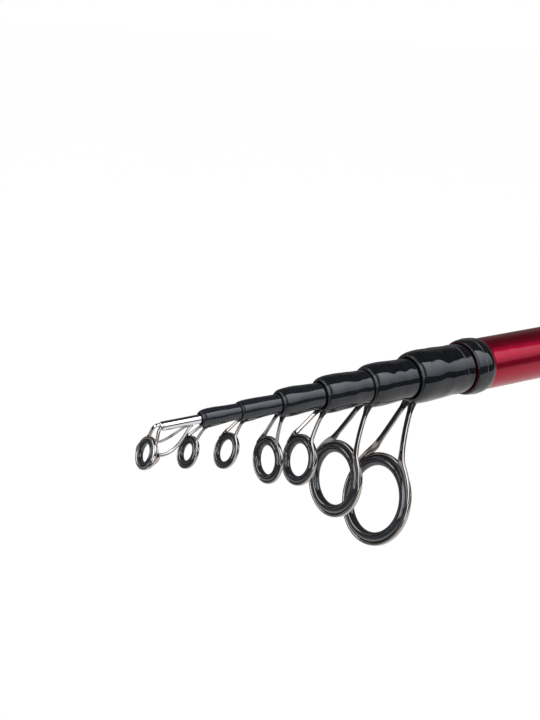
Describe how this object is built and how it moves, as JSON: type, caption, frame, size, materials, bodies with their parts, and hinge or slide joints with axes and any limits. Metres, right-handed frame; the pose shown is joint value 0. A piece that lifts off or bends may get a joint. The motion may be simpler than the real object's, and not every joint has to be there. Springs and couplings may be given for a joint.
{
  "type": "telescopic fishing rod",
  "caption": "Closed telescopic spinning rod with nested tapered blanks, whipped mouths, framed ceramic line guides, a tip guide and a handle with a screw reel seat.",
  "frame": {"origin": "centre of the butt cap's flat end face, on the rod axis", "axes": "+X along the rod axis out of the butt end, so the tip points to -X; +Z away from the line guides, which hang to -Z; +Y completes the right hand"},
  "size_m": [0.5732, 0.0326, 0.0744],
  "materials": {
    "red_blank": "red metallic paint under clear lacquer on a fibre tube",
    "black_blank": "black lacquered fibre tube",
    "black_lacquer": "black thread under a thick glossy coat of lacquer",
    "trim_thread": "metallic trim thread",
    "guide_steel": "polished stainless steel strip",
    "tip_chrome": "bright chromed tube",
    "ring_ceramic": "polished dark grey ceramic",
    "turned_metal": "turned and anodised",
    "grip_foam": "closed-cell grip foam",
    "soft_rubber": "soft rubber",
    "seat_plastic": "graphite filled moulded plastic"
  },
  "bodies": {
    "butt": {"butt_tube": "red_blank", "butt_whipping": "black_lacquer", "butt_trim": "trim_thread", "winding_check": "turned_metal", "fore_grip": "grip_foam", "seat_body": "seat_plastic", "fixed_hood": "seat_plastic", "rear_grip": "grip_foam", "butt_socket": "turned_metal"},
    "hood": {"sliding_hood": "seat_plastic"},
    "nut": {"lock_nut": "turned_metal"},
    "cushion": {"cushion": "soft_rubber"},
    "cap": {"butt_cap": "seat_plastic", "cap_seal": "soft_rubber"},
    "section_1": {"section_1": "black_blank", "whipping_1": "black_lacquer", "guide_frame_1": "guide_steel", "guide_ring_1": "ring_ceramic", "trim_1": "trim_thread"},
    "section_2": {"section_2": "black_blank", "whipping_2": "black_lacquer", "guide_frame_2": "guide_steel", "guide_ring_2": "ring_ceramic"},
    "section_3": {"section_3": "black_blank", "whipping_3": "black_lacquer", "guide_frame_3": "guide_steel", "guide_ring_3": "ring_ceramic"},
    "section_4": {"section_4": "black_blank", "whipping_4": "black_lacquer", "guide_frame_4": "guide_steel", "guide_ring_4": "ring_ceramic"},
    "section_5": {"section_5": "black_blank", "whipping_5": "black_lacquer", "guide_frame_5": "guide_steel", "guide_ring_5": "ring_ceramic"},
    "section_6": {"section_6": "black_blank", "whipping_6": "black_lacquer", "guide_frame_6": "guide_steel", "guide_ring_6": "ring_ceramic"},
    "section_7": {"section_7": "black_blank", "tip_tube": "tip_chrome", "tip_frame": "guide_steel", "tip_ring": "ring_ceramic"}
  },
  "joints": [
    {"name": "draw_1", "type": "slide", "parent": "butt", "child": "section_1", "axis": [-1, 0, 0], "range_m": [0, 0.3617]},
    {"name": "draw_2", "type": "slide", "parent": "section_1", "child": "section_2", "axis": [-1, 0, 0], "range_m": [0, 0.3915]},
    {"name": "draw_3", "type": "slide", "parent": "section_2", "child": "section_3", "axis": [-1, 0, 0], "range_m": [0, 0.4139]},
    {"name": "draw_4", "type": "slide", "parent": "section_3", "child": "section_4", "axis": [-1, 0, 0], "range_m": [0, 0.4361]},
    {"name": "draw_5", "type": "slide", "parent": "section_4", "child": "section_5", "axis": [-1, 0, 0], "range_m": [0, 0.4538]},
    {"name": "draw_6", "type": "slide", "parent": "section_5", "child": "section_6", "axis": [-1, 0, 0], "range_m": [0, 0.4699]},
    {"name": "draw_7", "type": "slide", "parent": "section_6", "child": "section_7", "axis": [-1, 0, 0], "range_m": [0, 0.485]},
    {"name": "hood_slide", "type": "slide", "parent": "butt", "child": "hood", "axis": [-1, 0, 0], "range_m": [0, 0.02]},
    {"name": "nut_spin", "type": "hinge", "parent": "hood", "child": "nut", "pos_m": [-0.1325, 0, 0], "axis": [-1, 0, 0], "range_deg": [0, 3600]},
    {"name": "cap_slide", "type": "slide", "parent": "butt", "child": "cushion", "axis": [1, 0, 0], "range_m": [0, 0.014]},
    {"name": "cap_spin", "type": "hinge", "parent": "cushion", "child": "cap", "pos_m": [-0.012, 0, 0], "axis": [1, 0, 0], "range_deg": [0, 3360]}
  ],
  "couplings": [
    {"joint": "nut_spin", "follows": "hood_slide", "rad_per_m": 3141.6},
    {"joint": "cap_spin", "follows": "cap_slide", "rad_per_m": 4188.8}
  ]
}
